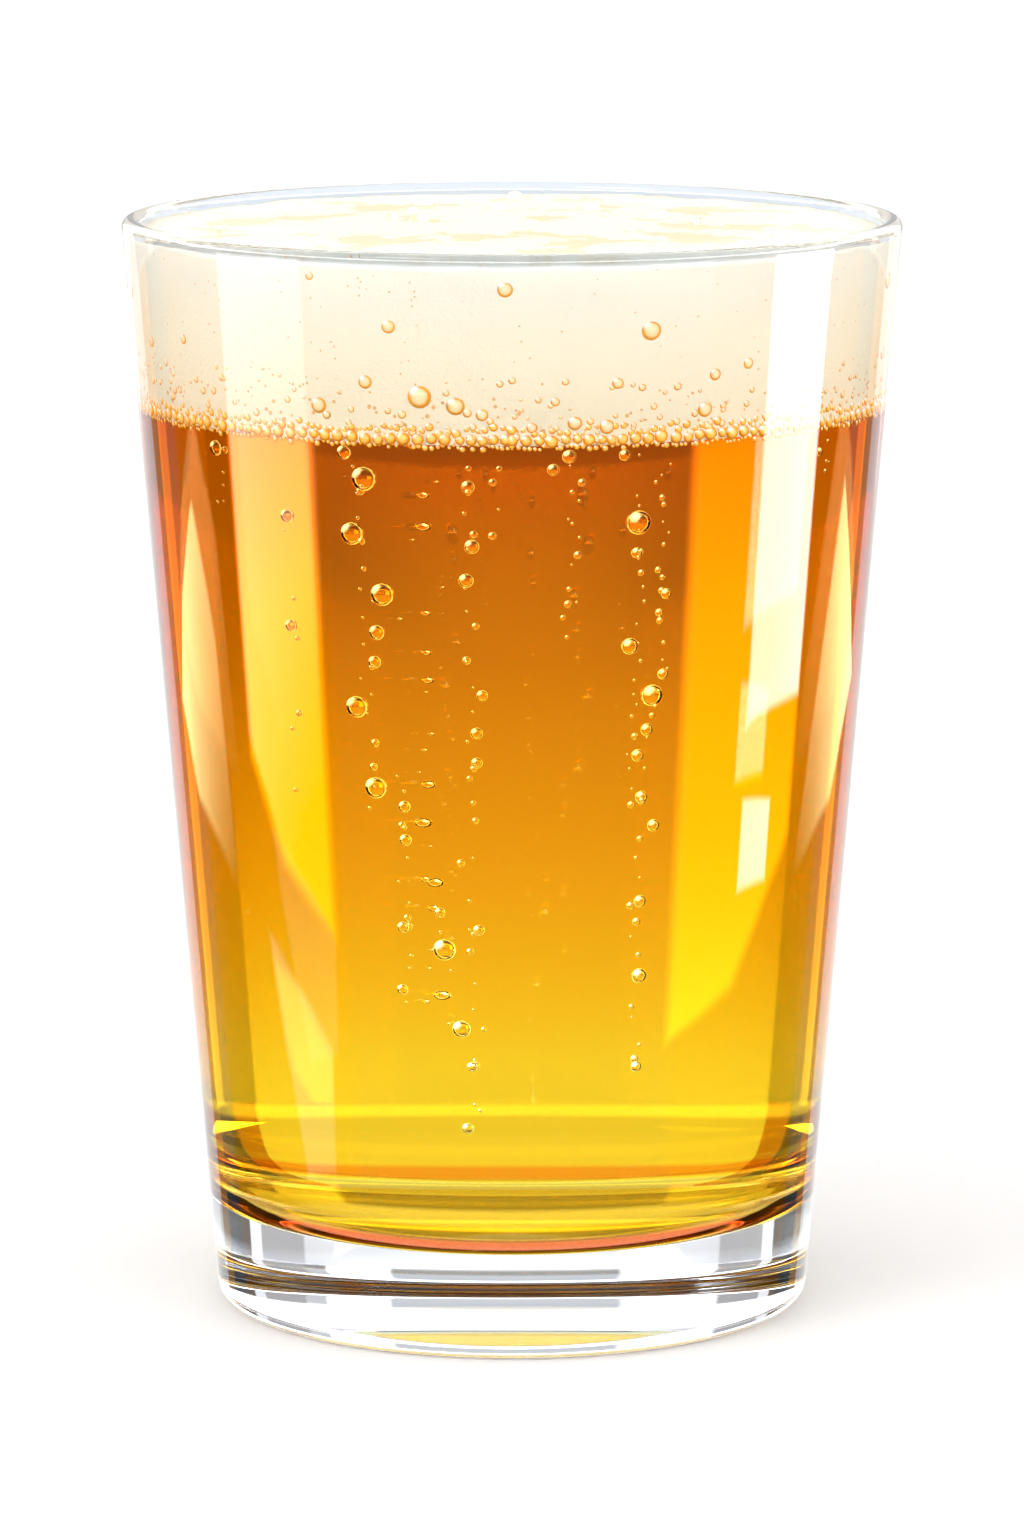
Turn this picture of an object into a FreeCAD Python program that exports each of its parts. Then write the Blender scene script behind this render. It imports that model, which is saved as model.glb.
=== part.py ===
"""A pint of beer in a plain conical glass, as a parametric document.

The glass is one turned piece: a heavy foot with a shallow hollow under it, a straight wall that
widens upwards, and a fire-polished lip. The beer fills it from the inner floor to the underside
of the head, and the head of foam fills the rest, with a low crown that ends just under the lip.

Frame: millimetres, +Z up, origin at the centre of the ring that the glass stands on.
"""

import FreeCAD, Part
import Sketcher

import os

OUT = "parts"
SHEET = "sizes"

# The driving dimensions: alias, value in millimetres, what it measures.
SIZES = (
    ("rim_diameter", 93.2, "outside of the glass at the lip"),
    ("glass_height", 131.5, "table to the top of the lip"),
    ("foot_diameter", 71.2, "outside of the wall, carried down to the table"),
    ("wall_at_lip", 2.4, "wall thickness at the lip, measured level"),
    ("wall_at_foot", 3.1, "wall thickness carried down to the table, measured level"),
    ("floor_thickness", 11.7, "table to the inner floor"),
    ("inner_corner_radius", 11.0, "round between the inner floor and the wall"),
    ("foot_corner_radius", 2.6, "round under the outside of the foot"),
    ("lip_radius", 1.05, "round on each edge of the lip"),
    ("foot_ring_width", 6.6, "outside of the foot to the hollow under it, at the table"),
    ("hollow_depth", 1.8, "height of the hollow at its centre"),
    ("hollow_edge_radius", 1.0, "round where the hollow meets the standing ring"),
    ("foam_edge_drop", 1.2, "top of the lip down to the edge of the foam"),
    ("foam_depth", 21.0, "edge of the foam down to the top of the beer"),
    ("foam_crown", 1.0, "rise of the foam from its edge to its middle"),
    ("foam_edge_radius", 0.9, "round of the foam where it meets the wall"),
)

# Sketcher's numbers for the points of an edge, its origin point and its two axes.
START, END, CENTRE = 1, 2, 3
ORIGIN = (-1, 1)
LEVEL_AXIS, UPRIGHT_AXIS = -1, -2

ROUND_SHARE = 0.45  # the most of a wall's thickness that the round on one of its edges takes
PLACE_TOLERANCE = 1e-4  # how near an edge must lie to the place it is looked up by, in mm


def size(alias):
    """The expression that reads one named cell of the sheet."""
    return f"{SHEET}.{alias}"


def round_within(alias, wall):
    """The expression for a round of a named radius that stays within the wall it is on."""
    return f"min({size(alias)}; {size(wall)} * {ROUND_SHARE})"


def foam_edge():
    """The expression for the height of the foam's edge above the table."""
    return f"{size('glass_height')} - {size('foam_edge_drop')}"


def beer_level():
    """The expression for the height of the top of the beer above the table."""
    return f"{foam_edge()} - {size('foam_depth')}"


def outer_radius_at(height):
    """The expression for the outside radius of the wall at a height, itself an expression."""
    foot = f"{size('foot_diameter')} / 2"
    growth = f"({size('rim_diameter')} - {size('foot_diameter')}) / 2"
    return f"{foot} + ({growth}) * ({height}) / {size('glass_height')}"


def inner_radius_at(height):
    """The expression for the inside radius of the wall at a height, itself an expression."""
    thinning = f"({size('wall_at_foot')} - {size('wall_at_lip')}) * ({height}) / {size('glass_height')}"
    return f"{outer_radius_at(height)} - {size('wall_at_foot')} + {thinning}"


def make_sheet(doc):
    """The spreadsheet, with one named cell for each driving dimension."""
    sheet = doc.addObject("Spreadsheet::Sheet", SHEET)
    for row, (alias, value, meaning) in enumerate(SIZES, start=1):
        sheet.set(f"A{row}", alias)
        sheet.set(f"B{row}", str(value))
        sheet.set(f"C{row}", meaning)
        sheet.setAlias(f"B{row}", alias)
    doc.recompute()
    return sheet


def origin_plane(body, role):
    """One of a body's own origin planes, by its role."""
    return next(plane for plane in body.Origin.OriginFeatures if plane.Role == role)


def hold_point(sketch, edge, end, radius, height):
    """Holds the end of an edge at a radius and a height, each None on the axis or the table."""
    if radius is None:
        sketch.addConstraint(Sketcher.Constraint("PointOnObject", edge, end, UPRIGHT_AXIS))
    else:
        at = sketch.addConstraint(Sketcher.Constraint("DistanceX", *ORIGIN, edge, end, 1.0))
        sketch.setExpression(f"Constraints[{at}]", radius)
    if height is None:
        sketch.addConstraint(Sketcher.Constraint("PointOnObject", edge, end, LEVEL_AXIS))
    else:
        at = sketch.addConstraint(Sketcher.Constraint("DistanceY", *ORIGIN, edge, end, 1.0))
        sketch.setExpression(f"Constraints[{at}]", height)


def place_of(sketch, corner):
    """The point that a corner's two expressions give now."""
    across, up = (0.0 if text is None else float(sketch.evalExpression(text)) for text in corner)
    return FreeCAD.Vector(across, up, 0)


def crown_arc(edge, apex):
    """An arc round a centre on the axis, from a point beside the axis up to an apex on it."""
    rise = apex.y - edge.y
    radius = (edge.x**2 + rise**2) / (2 * rise)
    centre = FreeCAD.Vector(0, apex.y - radius, 0)
    circle = Part.Circle(centre, FreeCAD.Vector(0, 0, 1), radius)
    return Part.ArcOfCircle(circle, circle.parameter(edge), circle.parameter(apex))


def draw_outline(sketch, corners, crowned):
    """Draws a closed outline through the corners, in order, and holds each one.

    A corner is a pair of expressions, radius and height. crowned names the edges, by the index of
    the corner that they start at, that are arcs about the axis and not straight lines.
    """
    places = [place_of(sketch, corner) for corner in corners]
    ends = []
    for at, here in enumerate(places):
        there = places[(at + 1) % len(places)]
        if at in crowned:
            side, apex = sorted((here, there), key=lambda point: -point.x)
            edge = sketch.addGeometry(crown_arc(side, apex), False)
            ends.append((edge, START, END) if side is here else (edge, END, START))
            sketch.addConstraint(Sketcher.Constraint("PointOnObject", edge, CENTRE, UPRIGHT_AXIS))
        else:
            edge = sketch.addGeometry(Part.LineSegment(here, there), False)
            ends.append((edge, START, END))
    for at, (edge, first, _) in enumerate(ends):
        before, _, last = ends[at - 1]
        sketch.addConstraint(Sketcher.Constraint("Coincident", before, last, edge, first))
        hold_point(sketch, edge, first, *corners[at])


def rings_at(feature, places):
    """The names of the round edges of a feature that lie at these places, one for each."""
    names = []
    for at, edge in enumerate(feature.Shape.Edges, start=1):
        if edge.Degenerated or edge.Curve.TypeId != "Part::GeomCircle":
            continue
        radius, height = edge.Curve.Radius, edge.Curve.Center.z
        if any(abs(radius - place.x) + abs(height - place.y) < PLACE_TOLERANCE for place in places):
            names.append(f"Edge{at}")
    if len(names) != len(places):
        raise RuntimeError(f"{feature.Label}: {len(names)} edges found at {len(places)} places")
    return names


def turned_body(doc, label, corners, crowned=(), rounds=()):
    """A body turned about the Z axis from one outline, with rounds on some of its rings.

    A round is its name, the expression for its radius and the corners, by index, that it takes off.
    """
    body = doc.addObject("PartDesign::Body", label)
    sketch = body.newObject("Sketcher::SketchObject", f"{label}_outline")
    sketch.AttachmentSupport = [(origin_plane(body, "XZ_Plane"), "")]
    sketch.MapMode = "FlatFace"
    doc.recompute()
    draw_outline(sketch, corners, crowned)
    doc.recompute()

    turned = body.newObject("PartDesign::Revolution", f"{label}_turned")
    turned.Profile = sketch
    turned.ReferenceAxis = (sketch, ["V_Axis"])
    turned.Angle = 360
    doc.recompute()

    base = turned
    for name, radius, indices in rounds:
        places = [place_of(sketch, corners[index]) for index in indices]
        fillet = body.newObject("PartDesign::Fillet", f"{label}_{name}")
        fillet.Base = (base, rings_at(base, places))
        fillet.setExpression("Radius", radius)
        doc.recompute()
        base = fillet
    body.Tip = base
    return body


def make_glass(doc):
    """The glass: foot, floor, wall and lip in one piece."""
    floor, lip = size("floor_thickness"), size("glass_height")
    corners = [
        (None, size("hollow_depth")),
        (f"{size('foot_diameter')} / 2 - {size('foot_ring_width')}", None),
        (f"{size('foot_diameter')} / 2", None),
        (outer_radius_at(lip), lip),
        (inner_radius_at(lip), lip),
        (inner_radius_at(floor), floor),
        (None, floor),
    ]
    rounds = [
        ("inner_corner", size("inner_corner_radius"), [5]),
        ("foot_corner", round_within("foot_corner_radius", "foot_ring_width"), [2]),
        ("hollow_edge", round_within("hollow_edge_radius", "foot_ring_width"), [1]),
        ("lip", round_within("lip_radius", "wall_at_lip"), [3, 4]),
    ]
    return turned_body(doc, "glass", corners, crowned=[0], rounds=rounds)


def make_beer(doc):
    """The beer, from the inner floor to the underside of the foam, against the glass all round."""
    floor, level = size("floor_thickness"), beer_level()
    corners = [
        (None, floor),
        (inner_radius_at(floor), floor),
        (inner_radius_at(level), level),
        (None, level),
    ]
    rounds = [("corner", size("inner_corner_radius"), [1])]
    return turned_body(doc, "beer", corners, rounds=rounds)


def make_foam(doc):
    """The head, from the top of the beer to a low crown, with its edge rounded down to the wall."""
    level, edge = beer_level(), foam_edge()
    corners = [
        (None, level),
        (inner_radius_at(level), level),
        (inner_radius_at(edge), edge),
        (None, f"{edge} + {size('foam_crown')}"),
    ]
    rounds = [("edge", round_within("foam_edge_radius", "foam_depth"), [2])]
    return turned_body(doc, "foam", corners, crowned=[2], rounds=rounds)


def check(doc, bodies):
    """Stops the build if any object failed or any piece isn't one valid solid."""
    for item in doc.Objects:
        if {"Invalid", "Error"} & set(item.State):
            raise RuntimeError(f"{item.Label} failed: {item.State}")
    for body in bodies:
        shape = body.Shape
        if shape.isNull() or not shape.isValid() or len(shape.Solids) != 1:
            raise RuntimeError(f"{body.Label} isn't one valid solid")


def main():
    """Builds the document, checks it and writes one STEP file for each piece."""
    doc = FreeCAD.newDocument("pint_of_beer")
    make_sheet(doc)
    bodies = [make_glass(doc), make_beer(doc), make_foam(doc)]
    doc.recompute()
    check(doc, bodies)
    os.makedirs(OUT, exist_ok=True)
    for body in bodies:
        body.Shape.exportStep(os.path.join(OUT, f"{body.Label}.step"))
        print(f"{body.Label}: {body.Shape.Volume / 1000:.1f} ml")


main()
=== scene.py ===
"""A pint of beer in a plain conical glass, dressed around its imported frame.

The glass, the beer and the head are turned from outlines that are worked out from the frame's
boxes. The bubbles are meshes at true size: strings that rise through the beer, a collar of beads
where the beer meets the head, and bubbles in the side and on the top of the head.

Places and sizes are in metres, in the frame's own axes: +Z up, origin at the middle of the ring
that the glass stands on. A turn is an angle about Z in degrees, 0 at the front (-Y), positive
towards +X. A bearing is the same kind of angle for the studio around the glass, 0 behind it (+Y).
"""

import logging
import math
import random
from dataclasses import dataclass, field
from enum import Enum

import bpy
import numpy as np
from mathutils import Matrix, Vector


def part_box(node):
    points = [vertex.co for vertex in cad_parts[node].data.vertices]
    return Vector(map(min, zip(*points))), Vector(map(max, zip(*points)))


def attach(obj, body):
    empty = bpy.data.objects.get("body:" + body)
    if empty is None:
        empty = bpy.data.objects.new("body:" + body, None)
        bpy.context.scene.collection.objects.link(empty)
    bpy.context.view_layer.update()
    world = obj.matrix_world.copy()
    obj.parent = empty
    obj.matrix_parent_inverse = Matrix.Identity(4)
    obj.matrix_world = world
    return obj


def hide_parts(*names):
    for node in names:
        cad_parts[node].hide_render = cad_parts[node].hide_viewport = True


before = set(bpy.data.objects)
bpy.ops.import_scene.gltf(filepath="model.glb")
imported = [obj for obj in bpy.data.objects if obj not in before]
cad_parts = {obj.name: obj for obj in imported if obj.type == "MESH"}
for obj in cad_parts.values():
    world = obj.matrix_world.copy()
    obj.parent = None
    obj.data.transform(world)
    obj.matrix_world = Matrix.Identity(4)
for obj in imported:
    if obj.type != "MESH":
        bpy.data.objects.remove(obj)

LOG = logging.getLogger("pint")
MM = 0.001
WELD = 0.001 * MM
SMOOTH_ANGLE = math.radians(32)
FACE_REACH = 4 * MM
RING = "ring"
PAINTED_GLINT = "glint"
BODY = "root"

Point = tuple[float, float]
Span = tuple[float, float]
Spot = tuple[float, float, float]
Tint = tuple[float, float, float]
Socket = bpy.types.NodeSocket
Material = bpy.types.Material
Piece = bpy.types.Object


class Slot(Enum):
    """The record's material slots."""

    GLASS = "glass"
    BEER = "beer"
    FOAM = "foam"


def from_screen(red: int, green: int, blue: int) -> Tint:
    """Turns a colour as a screen shows it, 0 to 255, into linear light.

    Args:
        red, green, blue: The channels.

    Returns:
        The three channels in linear light.
    """
    return tuple(
        value / 12.92 if value <= 0.04045 else ((value + 0.055) / 1.055) ** 2.4
        for value in (red / 255, green / 255, blue / 255)
    )


def around(turn: float, radius: float, height: float) -> Vector:
    """The place at a turn in degrees, a radius from the axis and a height."""
    angle = math.radians(turn)
    return Vector((radius * math.sin(angle), -radius * math.cos(angle), height))


class Wiring:
    """A node tree being wired, with short calls for the nodes that the finishes share."""

    def __init__(self, owner: bpy.types.ID) -> None:
        """Takes a material or a world and empties its tree.

        Args:
            owner: The material or world whose nodes are wired.
        """
        owner.use_nodes = True
        self.tree = owner.node_tree
        self.tree.nodes.clear()

    def add(self, kind: str, inputs: dict | None = None, **settings: object) -> bpy.types.Node:
        """Adds a node.

        Args:
            kind: The node's type.
            inputs: What its inputs are fed, by their names or numbers.
            **settings: Properties of the node to set.

        Returns:
            The new node.
        """
        node = self.tree.nodes.new(kind)
        for name, value in settings.items():
            setattr(node, name, value)
        for name, source in (inputs or {}).items():
            self.feed(node.inputs[name], source)
        return node

    def feed(self, socket: Socket, source: object) -> None:
        """Gives a socket a value, or links it to another node's output.

        Args:
            socket: The input to feed.
            source: A number, a tint or an output socket.
        """
        if isinstance(source, Socket):
            self.tree.links.new(source, socket)
        elif socket.type == "RGBA" and len(source) == 3:
            socket.default_value = (*source, 1)
        else:
            socket.default_value = source

    def math(self, operation: str, *terms: object) -> Socket:
        """A Math node's result.

        Args:
            operation: The Math node's operation.
            *terms: The numbers or outputs that it works on.

        Returns:
            The result's socket.
        """
        return self.add("ShaderNodeMath", dict(enumerate(terms)), operation=operation).outputs[0]

    def between(self, value: object, low: object, high: object, smooth: bool = True) -> Socket:
        """A value's share of the way from low to high, held between 0 and 1.

        Args:
            value: The value.
            low: Where the share is 0.
            high: Where the share is 1.
            smooth: Whether the share eases in and out.

        Returns:
            The share's socket.
        """
        kind = "SMOOTHSTEP" if smooth else "LINEAR"
        inputs = {"Value": value, "From Min": low, "From Max": high}
        node = self.add("ShaderNodeMapRange", inputs, interpolation_type=kind, clamp=True)
        return node.outputs["Result"]

    def mix(self, share: object, first: object, second: object) -> Socket:
        """Two colours mixed.

        Args:
            share: How much of the second colour there is, 0 to 1.
            first: The colour at a share of 0.
            second: The colour at a share of 1.

        Returns:
            The colour's socket.
        """
        return self.add("ShaderNodeMix", {0: share, 6: first, 7: second}, data_type="RGBA").outputs[2]

    def ramp(self, share: object, stops: list[tuple[float, Tint]]) -> Socket:
        """A colour ramp read at a share of its length.

        Args:
            share: Where the ramp is read, 0 to 1.
            stops: Each stop's place and colour, in order.

        Returns:
            The colour's socket.
        """
        node = self.add("ShaderNodeValToRGB", {0: share})
        elements = node.color_ramp.elements
        while len(elements) < len(stops):
            elements.new(1.0)
        for element, (place, tint) in zip(elements, stops):
            element.position = place
            element.color = (*tint, 1)
        return node.outputs[0]

    def place(self) -> Socket:
        """The point being shaded, in the frame's own axes."""
        return self.add("ShaderNodeTexCoord").outputs["Object"]

    def parts(self, vector: Socket) -> list[Socket]:
        """A vector's X, Y and Z."""
        return list(self.add("ShaderNodeSeparateXYZ", {0: vector}).outputs)

    def noise(self, scale: float, detail: float = 2.0, roughness: float = 0.5) -> Socket:
        """Noise read at the point being shaded, about 0.5 on average.

        Args:
            scale: How many lumps there are to a metre.
            detail: How many finer layers there are.
            roughness: How strong they are.

        Returns:
            The noise's socket.
        """
        inputs = {"Vector": self.place(), "Scale": scale, "Detail": detail, "Roughness": roughness}
        return self.add("ShaderNodeTexNoise", inputs).outputs[0]

    def cells(self, scale: float) -> Socket:
        """The distance to the nearest of a set of scattered cells, in the cells' own size.

        Args:
            scale: How many cells there are to a metre.

        Returns:
            The distance's socket.
        """
        inputs = {"Vector": self.place(), "Scale": scale}
        return self.add("ShaderNodeTexVoronoi", inputs, feature="F1").outputs["Distance"]

    def bump(self, height: object, strength: float, depth: float) -> Socket:
        """A surface normal roughened by a height.

        Args:
            height: The height's socket.
            strength: How much of the effect is used.
            depth: The height of a full step, in metres.

        Returns:
            The normal's socket.
        """
        inputs = {"Strength": strength, "Distance": depth, "Height": height}
        return self.add("ShaderNodeBump", inputs).outputs[0]

    def surface(self, **sockets: object) -> None:
        """Wires a Principled shader to the output.

        Args:
            **sockets: What each input is fed, by its name with _ for a space.
        """
        inputs = {name.replace("_", " "): source for name, source in sockets.items()}
        shader = self.add("ShaderNodeBsdfPrincipled", inputs)
        self.add("ShaderNodeOutputMaterial", {"Surface": shader.outputs[0]})


@dataclass(frozen=True)
class ClearGlass:
    """Polished clear glass with the slight waves of a pressed wall.

    Its cool cast is faint in the wall, and deeper in the base and at the lip, where light goes a
    long way through it.
    """

    floor: float
    lip: float
    index: float = 1.5
    thick: Tint = (0.74, 0.79, 0.86)
    below_floor: float = 0.5 * MM
    floor_fade: float = 1.5 * MM
    below_lip: float = 2.4 * MM
    lip_fade: float = 1.0 * MM
    cast: Tint = (0.95, 0.965, 0.985)
    wave_size: float = 18 * MM
    wave_depth: float = 0.02 * MM

    def material(self) -> Material:
        """Makes the material.

        Returns:
            The new material.
        """
        made = bpy.data.materials.new("clear_glass")
        wiring = Wiring(made)
        waves = wiring.noise(1 / self.wave_size, detail=1.0)
        height = wiring.parts(wiring.place())[2]
        base_top = self.floor - self.below_floor
        base = wiring.between(height, base_top, base_top - self.floor_fade)
        lip_foot = self.lip - self.below_lip
        lip = wiring.between(height, lip_foot, lip_foot + self.lip_fade)
        wiring.surface(
            Base_Color=wiring.mix(wiring.math("MAXIMUM", base, lip), self.cast, self.thick),
            Roughness=0.0,
            IOR=self.index,
            Transmission_Weight=1.0,
            Normal=wiring.bump(waves, 1.0, self.wave_depth),
        )
        return made


@dataclass(frozen=True)
class AmberBeer:
    """Clear amber beer, golden near the floor and deeper towards the head.

    The stops run from the inner floor to the head, as shares of the beer's height: golden near the
    floor as painted light, deeper towards the head as painted shade. Round the inner floor the tint
    goes in rings instead, whose stops run outwards from the axis: a painted bright ring of gathered
    light and a painted dark ring of shade.
    """

    low: float
    high: float
    index: float = 1.333
    # Painted light and shade: golden stops near the floor, deeper ones towards the head.
    stops: tuple[tuple[float, Tint], ...] = (
        (0.0, (1.0, 0.62, 0.02)),
        (0.03, (1.0, 0.50, 0.01)),
        (0.09, (1.0, 0.66, 0.02)),
        (0.16, (1.0, 0.67, 0.02)),
        (0.30, (1.0, 0.505, 0.006)),
        (0.45, (1.0, 0.385, 0.002)),
        (0.62, (1.0, 0.32, 0.001)),
        (0.80, (1.0, 0.255, 0.001)),
        (0.95, (1.0, 0.185, 0.001)),
        (1.0, (0.97, 0.16, 0.001)),
    )
    # Painted light on the inner floor: a bright ring of gathered light, then a dark ring of shade.
    painted_floor_rings: tuple[tuple[float, Tint], ...] = (
        (0.0, (1.0, 0.62, 0.02)),
        (0.58, (1.0, 0.64, 0.025)),
        (0.61, (1.0, 0.95, 0.5)),
        (0.74, (1.0, 0.95, 0.5)),
        (0.765, (1.0, 0.70, 0.03)),
        (0.79, (1.0, 0.18, 0.003)),
        (0.84, (1.0, 0.18, 0.003)),
        (0.86, (1.0, 0.62, 0.02)),
        (1.0, (1.0, 0.62, 0.02)),
    )
    floor_radius: float = 36 * MM
    rings_top: float = 6.4 * MM
    rings_fade: float = 1.0 * MM

    def material(self) -> Material:
        """Makes the material.

        Returns:
            The new material.
        """
        made = bpy.data.materials.new("amber_beer")
        wiring = Wiring(made)
        x, y, height = wiring.parts(wiring.place())
        share = wiring.between(height, self.low, self.high, smooth=False)
        out = wiring.math("SQRT", wiring.math("MULTIPLY_ADD", x, x, wiring.math("MULTIPLY", y, y)))
        rings = wiring.ramp(wiring.math("DIVIDE", out, self.floor_radius), list(self.painted_floor_rings))
        rings_end = self.low + self.rings_top
        above = wiring.between(height, rings_end, rings_end + self.rings_fade)
        wiring.surface(
            Base_Color=wiring.mix(above, rings, wiring.ramp(share, list(self.stops))),
            Roughness=0.0,
            IOR=self.index,
            Transmission_Weight=1.0,
        )
        return made


@dataclass(frozen=True)
class CreamFoam:
    """The head's fine wet foam: cream, with darker flecks that crowd towards the beer."""

    low: float
    high: float
    # The cream towards the beer is painted warm light from the beer; the greyer crown is painted shade
    # against the stronger light from above.
    pale: Tint = from_screen(255, 250, 231)
    cream: Tint = from_screen(255, 240, 205)
    crown: Tint = from_screen(228, 221, 202)
    patch: Tint = from_screen(224, 200, 160)
    fleck: Tint = from_screen(240, 168, 66)
    patch_size: float = 13 * MM
    patch_edge: Span = (0.54, 0.56)
    patch_rise: Span = (0.93, 0.98)
    fleck_size: float = 1.1 * MM
    fleck_group: float = 3.1 * MM
    fleck_end: float = 0.42
    fleck_reach: float = 0.10
    fleck_growth: float = 0.20
    fleck_depth: float = 0.8
    pit_size: float = 0.42 * MM
    grain_size: float = 0.9 * MM
    grain_depth: float = 0.1 * MM

    def material(self) -> Material:
        """Makes the material.

        Returns:
            The new material.
        """
        made = bpy.data.materials.new("cream_foam")
        wiring = Wiring(made)
        height = wiring.parts(wiring.place())[2]
        rise = wiring.between(height, self.low, self.high, smooth=False)
        # Painted light and shade: cream at the foot, pale above, greyer on the crown.
        tones = [(0.0, self.cream), (0.8, self.pale), (0.93, self.pale), (0.97, self.crown)]
        body = wiring.ramp(rise, tones)
        patches = wiring.between(wiring.noise(1 / self.patch_size, 6.0, 0.62), *self.patch_edge)
        upper = wiring.between(rise, *self.patch_rise)
        tone = wiring.mix(wiring.math("MULTIPLY", patches, upper), body, self.patch)
        near = wiring.math("SUBTRACT", 1.0, wiring.between(rise, 0.0, self.fleck_end))
        reach = wiring.math("MULTIPLY_ADD", near, self.fleck_growth, self.fleck_reach)
        spot = wiring.math("LESS_THAN", wiring.cells(1 / self.fleck_size), reach)
        chosen = wiring.math("GREATER_THAN", wiring.noise(1 / self.fleck_group, 1.0), 0.5)
        flecks = wiring.math("MULTIPLY", spot, chosen)
        pits = wiring.cells(1 / self.pit_size)
        grain = wiring.math("ADD", pits, wiring.noise(1 / self.grain_size, 3.0))
        wiring.surface(
            Base_Color=wiring.mix(wiring.math("MULTIPLY", flecks, self.fleck_depth), tone, self.fleck),
            Roughness=0.55,
            IOR=1.33,
            Normal=wiring.bump(grain, 0.35, self.grain_depth),
        )
        return made


@dataclass(frozen=True)
class AirBubble:
    """Gas in beer: a clear middle in a bright rim, with a glint high on one side.

    The rim and the glint follow two attributes of the mesh, and give off a little light: the bright
    rim is painted light and the glint a painted highlight.
    """

    name: str = "air_bubble"
    index: float = 0.8
    clear: Tint = (1.0, 0.94, 0.8)
    # Painted light: the next two tints give off light as a painted bright rim and a painted highlight.
    rim: Tint = (0.9, 1.3, 2.6)
    painted_glint_tint: Tint = (2.0, 4.0, 20.0)
    rim_from: Span = (0.90, 0.97)
    cover: float = 0.85
    painted_glow: float = 1.2

    def material(self) -> Material:
        """Makes the material.

        Returns:
            The new material.
        """
        made = bpy.data.materials.new(self.name)
        wiring = Wiring(made)
        out = wiring.add("ShaderNodeAttribute", attribute_name=RING).outputs["Fac"]
        glint = wiring.add("ShaderNodeAttribute", attribute_name=PAINTED_GLINT).outputs["Fac"]
        # The rim and the glint are painted light: they cover the clear bubble and give off light.
        edge = wiring.between(out, *self.rim_from)
        bright = wiring.math("MAXIMUM", edge, glint)
        covered = wiring.math("MULTIPLY", bright, self.cover)
        lit = wiring.mix(glint, wiring.mix(edge, (0.0, 0.0, 0.0), self.rim), self.painted_glint_tint)
        wiring.surface(
            Base_Color=self.clear,
            Roughness=0.0,
            IOR=self.index,
            Transmission_Weight=wiring.math("SUBTRACT", 1.0, covered),
            Emission_Color=lit,
            Emission_Strength=self.painted_glow,
        )
        return made


@dataclass(frozen=True)
class FoamBubble:
    """A wet bubble in the head: a pale cap in an amber ring, where the beer gathers."""

    name: str = "foam_bubble"
    cap: Tint = from_screen(255, 236, 198)
    shade: Tint = from_screen(253, 216, 150)
    ring: Tint = from_screen(240, 162, 50)
    # The glint tint is a painted highlight; the bubble also gives off painted light in its own colour.
    glint: Tint = (1.0, 1.0, 0.96)
    painted_glow: float = 0.12

    def material(self) -> Material:
        """Makes the material, which follows how far each point is from its bubble's middle.

        Returns:
            The new material.
        """
        made = bpy.data.materials.new(self.name)
        wiring = Wiring(made)
        out = wiring.add("ShaderNodeAttribute", attribute_name=RING).outputs["Fac"]
        glint = wiring.add("ShaderNodeAttribute", attribute_name=PAINTED_GLINT).outputs["Fac"]
        tones = [(0.0, self.cap), (0.62, self.shade), (0.8, self.ring), (1.0, self.ring)]
        # Painted highlight mixed into the colour at the glint, and painted light given off in that
        # colour.
        tone = wiring.mix(glint, wiring.ramp(out, tones), self.glint)
        wiring.surface(
            Base_Color=tone,
            Roughness=0.1,
            IOR=1.33,
            Coat_Weight=0.5,
            Coat_Roughness=0.03,
            Emission_Color=tone,
            Emission_Strength=self.painted_glow,
        )
        return made


@dataclass(frozen=True)
class Corner:
    """A corner of an outline, with the radius of the round on it."""

    radius: float
    height: float
    round: float = 0.0


def rounded(corners: list[Corner], steps: int = 10) -> list[Point]:
    """The points of an outline with an arc on each corner that has a round.

    Args:
        corners: The outline's corners, from the axis back to the axis.
        steps: How many stretches each arc is made of.

    Returns:
        The points as radius and height.
    """
    points: list[Point] = []
    for at, corner in enumerate(corners):
        here = Vector((corner.radius, corner.height))
        if not corner.round:
            points.append(tuple(here))
            continue
        back = (Vector((corners[at - 1].radius, corners[at - 1].height)) - here).normalized()
        ahead = (Vector((corners[at + 1].radius, corners[at + 1].height)) - here).normalized()
        half = back.angle(ahead) / 2
        centre = here + (back + ahead).normalized() * (corner.round / math.sin(half))
        start = here + back * (corner.round / math.tan(half)) - centre
        sweep = (math.pi - 2 * half) * (1 if back.cross(ahead) < 0 else -1)
        for step in range(steps + 1):
            angle = sweep * step / steps
            turned = (
                start.x * math.cos(angle) - start.y * math.sin(angle),
                start.x * math.sin(angle) + start.y * math.cos(angle),
            )
            points.append((centre.x + turned[0], centre.y + turned[1]))
    return points


def spaced(points: list[Point], reach: float) -> list[Point]:
    """Adds points to an outline.

    Args:
        points: The outline.
        reach: The furthest that a point may be from the next.

    Returns:
        The same outline with more points.
    """
    filled: list[Point] = []
    for (r0, z0), (r1, z1) in zip(points, points[1:]):
        count = max(1, math.ceil(math.hypot(r1 - r0, z1 - z0) / reach))
        filled += [(r0 + (r1 - r0) * i / count, z0 + (z1 - z0) * i / count) for i in range(count)]
    return filled + [points[-1]]


def clear_selection() -> None:
    """Leaves nothing selected, in object mode."""
    if bpy.context.object and bpy.context.object.mode != "OBJECT":
        bpy.ops.object.mode_set(mode="OBJECT")
    bpy.ops.object.select_all(action="DESELECT")


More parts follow.
